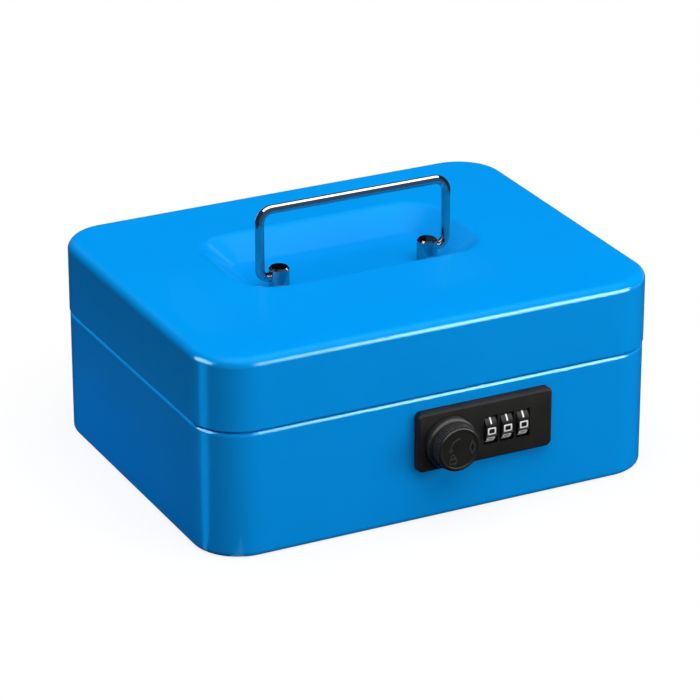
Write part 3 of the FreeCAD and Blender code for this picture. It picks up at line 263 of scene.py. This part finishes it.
def chrome():
    """Bright chrome plate with faint polishing marks."""
    plate = Shader("chrome_plate")
    haze = plate.noise(5 * MM, detail=4)
    marks = plate.noise(0.5 * MM, detail=2, stretch=(0.15, 1, 1))
    plate.colour(plate.ramp(haze, CHROME_DIM, CHROME_BRIGHT))
    plate.roughness(plate.spread(marks, 0.035, 0.09))
    plate.bump((marks, 0.001 * MM))
    plate.set(metallic=1.0)
    return plate.material


def moulding(name, dark, light, rough, smooth, grain_size, grain_depth, gloss):
    """Spark-eroded black plastic: a fine grain with slightly uneven gloss."""
    plastic = Shader(name)
    grain = plastic.noise(grain_size, detail=3, roughness=0.6)
    clouds = plastic.noise(9 * MM, detail=3)
    tone = plastic.ramp(clouds, dark, light)
    shade = plastic.ramp(grain, grey(0.55), WHITE, start=0.35, finish=0.62)
    plastic.colour(plastic.blend("MULTIPLY", 0.35, tone, shade))
    plastic.roughness(plastic.spread(grain, smooth, rough))
    plastic.bump((grain, grain_depth), (clouds, 0.004 * MM))
    plastic.set(specular_ior_level=gloss)
    return plastic


def lock_plastic():
    return moulding("lock_black_plastic", BLACK, BLACK_LIGHT, rough=0.62, smooth=0.48,
                    grain_size=0.30 * MM, grain_depth=0.016 * MM, gloss=0.15).material


def knob_plastic():
    return moulding("knob_black_plastic", BLACK, BLACK_LIGHT, **KNOB_GRAIN, gloss=0.25).material


def ribbed_plastic():
    """The knob's moulding, with painted shade in the grooves of its grip and a painted highlight on the teeth."""
    knob = moulding("knob_ribbed_plastic", BLACK, BLACK_LIGHT, **KNOB_GRAIN, gloss=0.25)
    reach, depth = knob.around(KNOB_FACE)
    # Painted shade in the grooves and a painted highlight on the tooth tips
    tips = knob.spread(reach, 0, 1, *TOOTH_RADII)
    teeth = knob.blend("MIX", tips, GROOVE_PAINTED_SHADE, TOOTH_PAINTED_HIGHLIGHT)
    side = knob.product(knob.spread(reach, 0, 1, *SIDE_RADII), knob.spread(depth, 1, 0, *GRIP_DEPTHS))
    knob.colour(knob.blend("MIX", side, knob.base_colour, teeth))
    return knob.material


# Painted highlight: the marks are coloured lighter than the black knob they are moulded in
def mark_plastic():
    return moulding("knob_mark_plastic", MARK_PAINTED_HIGHLIGHT, MARK_PAINTED_HIGHLIGHT_PALE, **KNOB_GRAIN, gloss=0.3).material


def dial_plastic():
    return moulding("dial_black_plastic", DIAL_BLACK, BLACK, rough=0.42, smooth=0.30,
                    grain_size=0.25 * MM, grain_depth=0.006 * MM, gloss=0.15).material


def tray_plastic():
    return moulding("tray_black_plastic", TRAY_BLACK, TRAY_LIGHT, rough=0.58, smooth=0.42,
                    grain_size=0.6 * MM, grain_depth=0.03 * MM, gloss=0.5).material


def number_paint():
    """White paint with fine specks."""
    paint = Shader("white_number_paint")
    specks = paint.noise(0.18 * MM, detail=3)
    paint.colour(paint.ramp(specks, NUMBER_DULL, NUMBER_WHITE, start=0.3, finish=0.6))
    paint.roughness(paint.spread(specks, 0.42, 0.55))
    paint.bump((specks, 0.006 * MM))
    return paint.material


def zinc_plate():
    """Bright zinc on steel, with faint spangle and rolling lines."""
    zinc = Shader("zinc_plate")
    spangle = zinc.cells(3.5 * MM)
    lines = zinc.noise(0.35 * MM, detail=3, stretch=(0.05, 1, 1))
    tint = zinc.ramp(spangle, ZINC_COOL, ZINC_WARM, start=0.0, finish=0.8)
    shade = zinc.ramp(lines, grey(0.7), WHITE, start=0.3, finish=0.6)
    zinc.colour(zinc.blend("MULTIPLY", 0.2, tint, shade))
    zinc.roughness(zinc.spread(lines, 0.24, 0.40))
    zinc.bump((lines, 0.004 * MM))
    zinc.set(metallic=1.0)
    return zinc.material


def turned_brass():
    """Blackened brass with fine turning rings round the X axis."""
    brass = Shader("turned_brass")
    rings = brass.noise(0.15 * MM, detail=2, stretch=(1, 0.1, 0.1))
    tarnish = brass.noise(2.5 * MM, detail=3)
    brass.colour(brass.ramp(tarnish, BRASS_DARK, BRASS_LIGHT))
    brass.roughness(brass.spread(rings, 0.22, 0.38))
    brass.bump((rings, 0.004 * MM))
    brass.set(metallic=1.0)
    return brass.material


def dress_nodes():
    """Each node gets the look of its material slot, or one of its own."""
    slot_looks = {
        "shell": powder_coat(),
        "chrome": chrome(),
        "lock_plastic": lock_plastic(),
        "knob_plastic": knob_plastic(),
        "dial_plastic": dial_plastic(),
        "tray_plastic": tray_plastic(),
        "zinc_steel": zinc_plate(),
        "hub_brass": turned_brass(),
    }
    own_looks = {"lock_knob": ribbed_plastic()}
    for part in frame["record"]["subparts"]:
        mesh = nodes[part["node"]].data
        mesh.materials.clear()
        mesh.materials.append(own_looks.get(part["node"], slot_looks[part["material_slot"]]))


# Outlines and plates, in millimetres

SAME_LINE = 1e-9
WELD_DISTANCE = 1e-4
BEND_STEPS = 4
BEND_SHARE = 0.48
ARC_STEPS = 24


def without_straights(loop):
    """A loop without the points that lie on a straight side."""
    corners = []
    for i, (x, y) in enumerate(loop):
        before = loop[i - 1]
        after = loop[(i + 1) % len(loop)]
        if abs((x - before[0]) * (after[1] - y) - (y - before[1]) * (after[0] - x)) > SAME_LINE:
            corners.append((x, y))
    return corners


def rounded(loop, radius):
    """A loop whose corners are bent round, by less than half of either side."""
    points = []
    for i in range(len(loop)):
        corner = Vector(loop[i])
        to_before = Vector(loop[i - 1]) - corner
        to_after = Vector(loop[(i + 1) % len(loop)]) - corner
        reach = min(radius, BEND_SHARE * to_before.length, BEND_SHARE * to_after.length)
        start = corner + to_before.normalized() * reach
        finish = corner + to_after.normalized() * reach
        for step in range(BEND_STEPS + 1):
            t = step / BEND_STEPS
            points.append(tuple(start * (1 - t) ** 2 + corner * 2 * t * (1 - t) + finish * t ** 2))
    return points


def arc(x, y, radius, start, finish):
    """Points along an arc between two angles in degrees."""
    angles = [math.radians(start + (finish - start) * i / ARC_STEPS) for i in range(ARC_STEPS + 1)]
    return [(x + radius * math.cos(a), y + radius * math.sin(a)) for a in angles]


def plate_from_loops(name, loops, thickness):
    """A flat plate with holes, ready to be bent or placed."""
    curve = bpy.data.curves.new(name, "CURVE")
    curve.dimensions = "2D"
    curve.fill_mode = "BOTH"
    curve.extrude = thickness / 2
    for loop in loops:
        spline = curve.splines.new("POLY")
        spline.points.add(len(loop) - 1)
        for point, (x, y) in zip(spline.points, loop):
            point.co = (x, y, 0, 1)
        spline.use_cyclic_u = True
    holder = bpy.data.objects.new(name, curve)
    scene.collection.objects.link(holder)
    graph = bpy.context.evaluated_depsgraph_get()
    flat = bpy.data.meshes.new_from_object(holder.evaluated_get(graph))
    bpy.data.objects.remove(holder)
    bpy.data.curves.remove(curve)
    plate = bmesh.new()
    plate.from_mesh(flat)
    bpy.data.meshes.remove(flat)
    bmesh.ops.remove_doubles(plate, verts=plate.verts, dist=WELD_DISTANCE)
    return plate


def add_piece(name, plate, material, body):
    bmesh.ops.recalc_face_normals(plate, faces=plate.faces)
    mesh = bpy.data.meshes.new(name)
    plate.to_mesh(mesh)
    plate.free()
    mesh.materials.append(material)
    piece = bpy.data.objects.new(name, mesh)
    scene.collection.objects.link(piece)
    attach(piece, body)


# Numbers on the dials, in millimetres

GLYPHS = (
    ("#####", "#...#", "#...#", "#...#", "#####"),
    ("..#..", "..#..", "..#..", "..#..", "..#.."),
    ("#####", "....#", "#####", "#....", "#####"),
    ("#####", "....#", ".####", "....#", "#####"),
    ("#...#", "#...#", "#####", "....#", "....#"),
    ("#####", "#....", "#####", "....#", "#####"),
    ("#####", "#....", "#####", "#...#", "#####"),
    ("#####", "....#", "....#", "....#", "....#"),
    ("#####", "#...#", "#####", "#...#", "#####"),
    ("#####", "#...#", "#####", "....#", "#####"),
)
# Edges of a glyph's columns and rows, from its middle
GLYPH_COLUMNS = (-1.85, -1.22, -0.32, 0.32, 1.22, 1.85)
GLYPH_ROWS = (-1.5, -0.95, -0.27, 0.27, 0.95, 1.5)
GLYPH_ROUND = 0.42
DIAL_NODES = {"dial_left": "number_dial_1", "dial_middle": "number_dial_2", "dial_right": "number_dial_3"}
DIAL_RADIUS = 7.0
PAINT_THICKNESS = 0.12
WRAP_STEP = 0.4


def glyph_loops(rows):
    """The outlines of a glyph's filled cells, as corner points."""
    filled = set()
    for row, cells in enumerate(reversed(rows)):
        filled.update((column, row) for column, cell in enumerate(cells) if cell == "#")
    following = {}
    for column, row in filled:
        sides = (((column, row), (column + 1, row), (column, row - 1)),
                 ((column + 1, row), (column + 1, row + 1), (column + 1, row)),
                 ((column + 1, row + 1), (column, row + 1), (column, row + 1)),
                 ((column, row + 1), (column, row), (column - 1, row)))
        for start, finish, neighbour in sides:
            if neighbour not in filled:
                following[start] = finish
    loops = []
    while following:
        first = min(following)
        ring = [first]
        while following[ring[-1]] != first:
            ring.append(following[ring[-1]])
        for point in ring:
            del following[point]
        loops.append([(GLYPH_COLUMNS[column], GLYPH_ROWS[row]) for column, row in ring])
    return [without_straights(loop) for loop in loops]


def make_dial_numbers(body, node, paint):
    """The ten numbers, laid in a row and then wrapped round the dial."""
    low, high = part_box(node)
    axis = Vector(pivots[body + "_turn"])
    axis.x = (low[0] + high[0]) / 2
    pitch = 2 * math.pi * DIAL_RADIUS / len(GLYPHS)
    loops = []
    for digit, rows in enumerate(GLYPHS):
        for loop in glyph_loops(rows):
            loops.append([(x, y + digit * pitch) for x, y in rounded(loop, GLYPH_ROUND)])
    plate = plate_from_loops(body + "_numbers", loops, PAINT_THICKNESS)
    for step in range(int(len(GLYPHS) * pitch / WRAP_STEP)):
        bmesh.ops.bisect_plane(plate, geom=plate.verts[:] + plate.edges[:] + plate.faces[:],
                               plane_co=(0, GLYPH_ROWS[0] + step * WRAP_STEP, 0), plane_no=(0, 1, 0))
    for vertex in plate.verts:
        x, along, height = vertex.co
        angle = along / DIAL_RADIUS
        radius = DIAL_RADIUS + height
        vertex.co = axis + Vector((x, -radius * math.cos(angle), radius * math.sin(angle))) * MM
    add_piece(body + "_numbers", plate, paint, body)


# Marks on the knob, in millimetres from the middle of its face

MARK_HEIGHT = 0.2
MARK_STROKE = 0.45
MARK_HALF = MARK_STROKE / 2
# The marks' backs are sunk into the face by this share of their height
MARK_SUNK = 0.25
PADLOCK_X, PADLOCK_Y = -2.9, -4.6
PADLOCK_WIDTH, PADLOCK_HEIGHT = 3.2, 2.6
PADLOCK_ROUND = 0.5
PADLOCK_HOLE_ROUND = 0.2
SHACKLE_GAP = 0.1
SHACKLE_LEG = 0.5
SHACKLE_RADIUS = 0.85
ARROW_X, ARROW_Y = 0.3, 0.5
ARROW_RADIUS = 4.2
ARROW_HEAD_HALF = 1.3
ARROW_HEAD_LENGTH = 1.6
POINTER_X = 5.7
POINTER_HALF_WIDTH = 1.6
POINTER_HALF_HEIGHT = 3.3
POINTER_HOLE = 0.62


def padlock_loops():
    """A rounded frame with a shackle over it."""
    loops = []
    for inset, radius in ((0, PADLOCK_ROUND), (MARK_STROKE, PADLOCK_HOLE_ROUND)):
        left = PADLOCK_X - PADLOCK_WIDTH / 2 + inset
        right = PADLOCK_X + PADLOCK_WIDTH / 2 - inset
        low = PADLOCK_Y - PADLOCK_HEIGHT / 2 + inset
        high = PADLOCK_Y + PADLOCK_HEIGHT / 2 - inset
        loops.append(rounded([(left, low), (right, low), (right, high), (left, high)], radius))
    foot = PADLOCK_Y + PADLOCK_HEIGHT / 2 + SHACKLE_GAP
    bow = foot + SHACKLE_LEG
    outer = SHACKLE_RADIUS + MARK_HALF
    inner = SHACKLE_RADIUS - MARK_HALF
    loops.append([(PADLOCK_X + outer, foot)] + arc(PADLOCK_X, bow, outer, 0, 180)
                 + [(PADLOCK_X - outer, foot), (PADLOCK_X - inner, foot)] + arc(PADLOCK_X, bow, inner, 180, 0)
                 + [(PADLOCK_X + inner, foot)])
    return loops


def arrow_loop():
    """A quarter turn that ends in a head above the padlock."""
    tip = ARROW_X - ARROW_RADIUS
    head = [(tip - ARROW_HEAD_HALF, ARROW_Y), (tip, ARROW_Y - ARROW_HEAD_LENGTH),
            (tip + ARROW_HEAD_HALF, ARROW_Y)]
    return (arc(ARROW_X, ARROW_Y, ARROW_RADIUS + MARK_HALF, 90, 180) + head
            + arc(ARROW_X, ARROW_Y, ARROW_RADIUS - MARK_HALF, 180, 90))


def pointer_loops():
    """An open diamond that points at the dials."""
    loops = []
    for share in (1, POINTER_HOLE):
        wide = POINTER_HALF_WIDTH * share
        tall = POINTER_HALF_HEIGHT * share
        loops.append([(POINTER_X - wide, 0), (POINTER_X, -tall), (POINTER_X + wide, 0), (POINTER_X, tall)])
    return loops


def make_knob_marks():
    plate = plate_from_loops("knob_marks", padlock_loops() + [arrow_loop()] + pointer_loops(), MARK_HEIGHT)
    for vertex in plate.verts:
        x, y, height = vertex.co
        vertex.co = KNOB_FACE + Vector((x, -height - MARK_HEIGHT * MARK_SUNK, y)) * MM
    add_piece("knob_marks", plate, mark_plastic(), "knob")


# Studio: a white room, soft lamps, and cards that only reflections see

WORLD_FILL = 0.085
FLOOR_SIZE = 8.0
FLOOR_PAPER = (0.95, 0.94, 0.93)
FLOOR_BOUNCE = 0.18
# How much of the floor's white is its own, near the object and further away, and where that changes
FLOOR_GLOW_NEAR = 0.84
FLOOR_GLOW_FAR = 0.965
FLOOR_FADE = (0.11, 0.21)

CARD_BLACK = (0.01, 0.01, 0.01)
CARD_LIFT = 0.3 * MM
LOW_BLUE = (0.20, 0.60, 1.0)
BLUE_GEL = (0.0, 0.55, 1.0)
WARM_GEL = (1.0, 0.74, 0.58)
HANDLE_BLUE = (0.25, 0.55, 1.0)

LID_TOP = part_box("lid_shell")[1][2]
AWNING_HEIGHT = 50.3 * MM
AWNING_SIDES = (-0.10, 0.25)
AWNING_FRONT = -0.20
AWNING_BACK = -0.0785


def seen_directly(tree):
    """1 for rays that show the background: from the camera, or by way of a mirror or glass."""
    path = tree.nodes.new("ShaderNodeLightPath")
    total = path.outputs["Is Camera Ray"]
    for name in ("Is Glossy Ray", "Is Transmission Ray"):
        most = tree.nodes.new("ShaderNodeMath")
        most.operation = "MAXIMUM"
        tree.links.new(total, most.inputs[0])
        tree.links.new(path.outputs[name], most.inputs[1])
        total = most.outputs[0]
    return total


def make_world():
    """White where it is seen, and a dim fill where it lights the object."""
    world = bpy.data.worlds.new("studio")
    world.use_nodes = True
    scene.world = world
    tree = world.node_tree
    background = tree.nodes["Background"]
    background.inputs["Color"].default_value = (*WHITE, 1)
    level = tree.nodes.new("ShaderNodeMapRange")
    level.inputs["To Min"].default_value = WORLD_FILL
    level.inputs["To Max"].default_value = 1.0
    tree.links.new(seen_directly(tree), level.inputs["Value"])
    tree.links.new(level.outputs["Result"], background.inputs["Strength"])


def diffuse(tree, colour):
    node = tree.nodes.new("ShaderNodeBsdfDiffuse")
    node.inputs["Color"].default_value = (*colour, 1)
    return node.outputs["BSDF"]


def mixed(tree, factor, first, second):
    node = tree.nodes.new("ShaderNodeMixShader")
    tree.links.new(factor, node.inputs["Fac"])
    tree.links.new(first, node.inputs[1])
    tree.links.new(second, node.inputs[2])
    return node.outputs["Shader"]


def floor_glow_share(tree):
    """The share of the floor's own white, which grows with the distance from the origin."""
    away = tree.nodes.new("ShaderNodeVectorMath")
    away.operation = "LENGTH"
    tree.links.new(tree.nodes.new("ShaderNodeTexCoord").outputs["Object"], away.inputs[0])
    fade = tree.nodes.new("ShaderNodeMapRange")
    fade.interpolation_type = "SMOOTHSTEP"
    fade.inputs["From Min"].default_value = FLOOR_FADE[0]
    fade.inputs["From Max"].default_value = FLOOR_FADE[1]
    fade.inputs["To Min"].default_value = FLOOR_GLOW_NEAR
    fade.inputs["To Max"].default_value = FLOOR_GLOW_FAR
    tree.links.new(away.outputs["Value"], fade.inputs["Value"])
    return fade.outputs["Result"]


def floor_material():
    """White paper with the object's shadow where it is seen, and grey where light bounces off it."""
    material = bpy.data.materials.new("white_floor")
    material.use_nodes = True
    tree = material.node_tree
    tree.nodes.remove(tree.nodes["Principled BSDF"])
    glow = tree.nodes.new("ShaderNodeEmission").outputs["Emission"]
    shown = mixed(tree, floor_glow_share(tree), diffuse(tree, FLOOR_PAPER), glow)
    surface = mixed(tree, seen_directly(tree), diffuse(tree, grey(FLOOR_BOUNCE)), shown)
    tree.links.new(surface, tree.nodes["Material Output"].inputs["Surface"])
    return material


def make_floor():
    mesh = bpy.data.meshes.new("floor")
    half = FLOOR_SIZE / 2
    mesh.from_pydata([(x, y, 0) for x, y in rectangle((-half, half), (-half, half))], [], [(0, 1, 2, 3)])
    mesh.materials.append(floor_material())
    floor = bpy.data.objects.new("floor", mesh)
    scene.collection.objects.link(floor)


def make_lamp(name, azimuth, elevation, distance, width, height, power, colour=WHITE):
    """A soft box that looks at the middle of the object, and that mirrors don't show. Angles in degrees."""
    lamp = bpy.data.lights.new(name, "AREA")
    lamp.shape = "RECTANGLE"
    lamp.size = width
    lamp.size_y = height
    lamp.energy = power
    lamp.color = colour
    thing = bpy.data.objects.new(name, lamp)
    towards = direction(math.radians(azimuth), math.radians(elevation))
    thing.location = CAMERA_TARGET + towards * distance
    thing.rotation_euler = towards.to_track_quat("Z", "Y").to_euler()
    thing.visible_glossy = False
    thing.visible_camera = False
    scene.collection.objects.link(thing)


def make_lamps():
    make_lamp("key_softbox", azimuth=-5, elevation=76, distance=1.6, width=2.0, height=2.0, power=36.5)
    make_lamp("front_softbox", azimuth=42, elevation=11, distance=1.8, width=1.2, height=1.0, power=17.5)
    make_lamp("back_softbox", azimuth=181, elevation=22, distance=1.8, width=0.8, height=0.8, power=8)
    make_lamp("left_strip", azimuth=-100, elevation=-12.4, distance=0.165, width=0.2, height=0.008,
              power=0.018, colour=LOW_BLUE)


def make_card(name, corners, glow=0.0, colour=WHITE):
    """A card that only reflections see: black, or lit from inside."""
    mesh = bpy.data.meshes.new(name)
    mesh.from_pydata(corners, [], [tuple(range(len(corners)))])
    card = bpy.data.objects.new(name, mesh)
    material = bpy.data.materials.new(name)
    material.use_nodes = True
    surface = material.node_tree.nodes["Principled BSDF"]
    surface.inputs["Base Color"].default_value = (*CARD_BLACK, 1)
    surface.inputs["Specular IOR Level"].default_value = 0.0
    surface.inputs["Emission Color"].default_value = (*colour, 1)
    surface.inputs["Emission Strength"].default_value = glow
    material.cycles.emission_sampling = "NONE"
    mesh.materials.append(material)
    scene.collection.objects.link(card)
    card.visible_camera = False
    card.visible_diffuse = False
    card.visible_shadow = False
    card.visible_transmission = False


def lying_card(name, outline, height=CARD_LIFT, glow=0.0, colour=WHITE):
    make_card(name, [(x, y, height) for x, y in outline], glow, colour)


def standing_card(name, start, finish, low, high, glow=0.0, colour=WHITE):
    """A card that stands upright over a line on the floor."""
    make_card(name, [(*start, low), (*finish, low), (*finish, high), (*start, high)], glow, colour)


def rectangle(sides, ends):
    """The corners of a rectangle between two places along X and two along Y."""
    left, right = sides
    front, back = ends
    return [(left, front), (right, front), (right, back), (left, back)]


def wedge(apex, first, last, reach):
    """A triangle on the floor that fans out from a point between two azimuths in degrees."""
    corners = [apex]
    for azimuth in (first, last):
        way = direction(math.radians(azimuth), 0)
        corners.append((apex[0] + way.x * reach, apex[1] + way.y * reach))
    return corners


def make_room_flags():
    """Dark cards round the room and on the floor, which keep its white out of the paint and the chrome."""
    make_card("back_flag", [(-0.9, 1.9, 0.02), (2.2, 1.2, 0.02), (1.8, 0.9, 4.0), (-0.7, 1.5, 4.0)])
    make_card("left_back_flag", [(-1.6, 0.5, 0.02), (-0.9, 1.9, 0.02), (-0.7, 1.5, 4.0), (-1.3, 0.4, 4.0)])
    lying_card("front_flag", [(-0.078, -0.060), (-0.088, -0.080), (-0.45, -1.1), (1.1, -1.1), (0.4, -0.060)])
    lying_card("right_flag", rectangle((0.07, 0.9), (-0.06, 0.9)))
    lying_card("left_flag", [(-0.090, -0.068), (-0.56, 0.12), (-0.8, 1.2), (0.0, 1.2), (-0.080, 0.06)])
    lying_card("corner_flag", wedge((-0.090, -0.066), first=-97, last=-8, reach=0.7))
    front_wall = [(-0.60, 0.20), (-0.52, -0.40), (0.0, -0.64), (0.62, -0.50), (0.90, 0.40)]
    for number, (start, finish) in enumerate(zip(front_wall, front_wall[1:])):
        standing_card("front_wall_flag_%d" % number, start, finish, low=0.06, high=1.0)
    lying_card("top_flag", rectangle((-0.8, 0.8), (-0.6, 0.8)), height=0.75, glow=0.1)


def make_handle_flags():
    """Dim blue cards close round the handle, which keep the white room out of its legs."""
    front_left, front_right, back_right, back_left = rectangle((-0.06, 0.06), (-0.021, 0.05))
    sides = (("front", front_left, front_right, 0.24), ("left", back_left, front_left, 0.08),
             ("right", front_right, back_right, 0.08))
    for name, start, finish, glow in sides:
        standing_card("handle_flag_" + name, start, finish, low=LID_TOP + 12 * MM, high=LID_TOP + 50 * MM,
                      glow=glow, colour=HANDLE_BLUE)


def make_lid_flags():
    """Black cards near the lid, which trim the edge lights on its edges and keep them out of its top."""
    standing_card("left_lid_flag", (-0.090, -0.050), (-0.090, 0.070), low=LID_TOP + 0.5 * MM,
                  high=LID_TOP + 75 * MM)
    standing_card("lid_edge_flag", (-0.1065, -0.055), (-0.1065, 0.40), low=LID_TOP - 5.5 * MM,
                  high=LID_TOP + 185 * MM)
    standing_card("lid_front_flag", (-0.085, -0.095), (0.20, -0.095), low=LID_TOP + 5.2 * MM,
                  high=LID_TOP + 40 * MM)
    lying_card("lid_awning", rectangle((-0.12, 0.12), (-0.076, -0.022)), height=LID_TOP + 12 * MM)


def make_lock_flags():
    """A black awning over the lock and a curtain in front, which keep the edge lights out of its plastic."""
    left, right = AWNING_SIDES
    lying_card("lock_awning", rectangle(AWNING_SIDES, (AWNING_FRONT, AWNING_BACK)), height=AWNING_HEIGHT)
    standing_card("lock_curtain", (left, AWNING_FRONT), (right, AWNING_FRONT), low=1 * MM, high=AWNING_HEIGHT)


def make_edge_lights():
    """Strips that draw the bright lines along the edges of the box, the lock and the handle."""
    strip = [(0.017, -0.500), (0.090, -0.463), (0.135, -0.440), (0.394, -0.308)]
    for number, glow in enumerate((10.0, 19.0, 32.0)):
        standing_card("front_strip_%d" % number, strip[number], strip[number + 1], low=0.020, high=0.49,
                      glow=glow, colour=WARM_GEL)
    standing_card("left_strip_card", (-0.454, 0.354), (-0.187, 0.490), low=0.066, high=0.35, glow=4.5,
                  colour=BLUE_GEL)
    standing_card("corner_strip", (-0.492, -0.137), (-0.426, 0.161), low=0.060, high=0.43, glow=15.0)
    lying_card("lock_glow", rectangle((-0.03, 0.07), (-0.105, -0.083)), height=AWNING_HEIGHT - CARD_LIFT,
               glow=5.0)
    lying_card("handle_light", rectangle((-0.048, 0.048), (-0.006, 0.006)), height=LID_TOP + 37 * MM,
               glow=3.4)
    lying_card("corner_glow", wedge((-0.098, -0.066), first=-117, last=-93, reach=0.4),
               height=2 * CARD_LIFT, glow=4.4, colour=BLUE_GEL)


def make_studio():
    make_world()
    make_floor()
    make_lamps()
    make_room_flags()
    make_handle_flags()
    make_lid_flags()
    make_lock_flags()
    make_edge_lights()


make_camera()
make_studio()
dress_nodes()
dial_paint = number_paint()
for dial_body, dial_node in DIAL_NODES.items():
    make_dial_numbers(dial_body, dial_node, dial_paint)
make_knob_marks()

scene.view_settings.view_transform = "Standard"
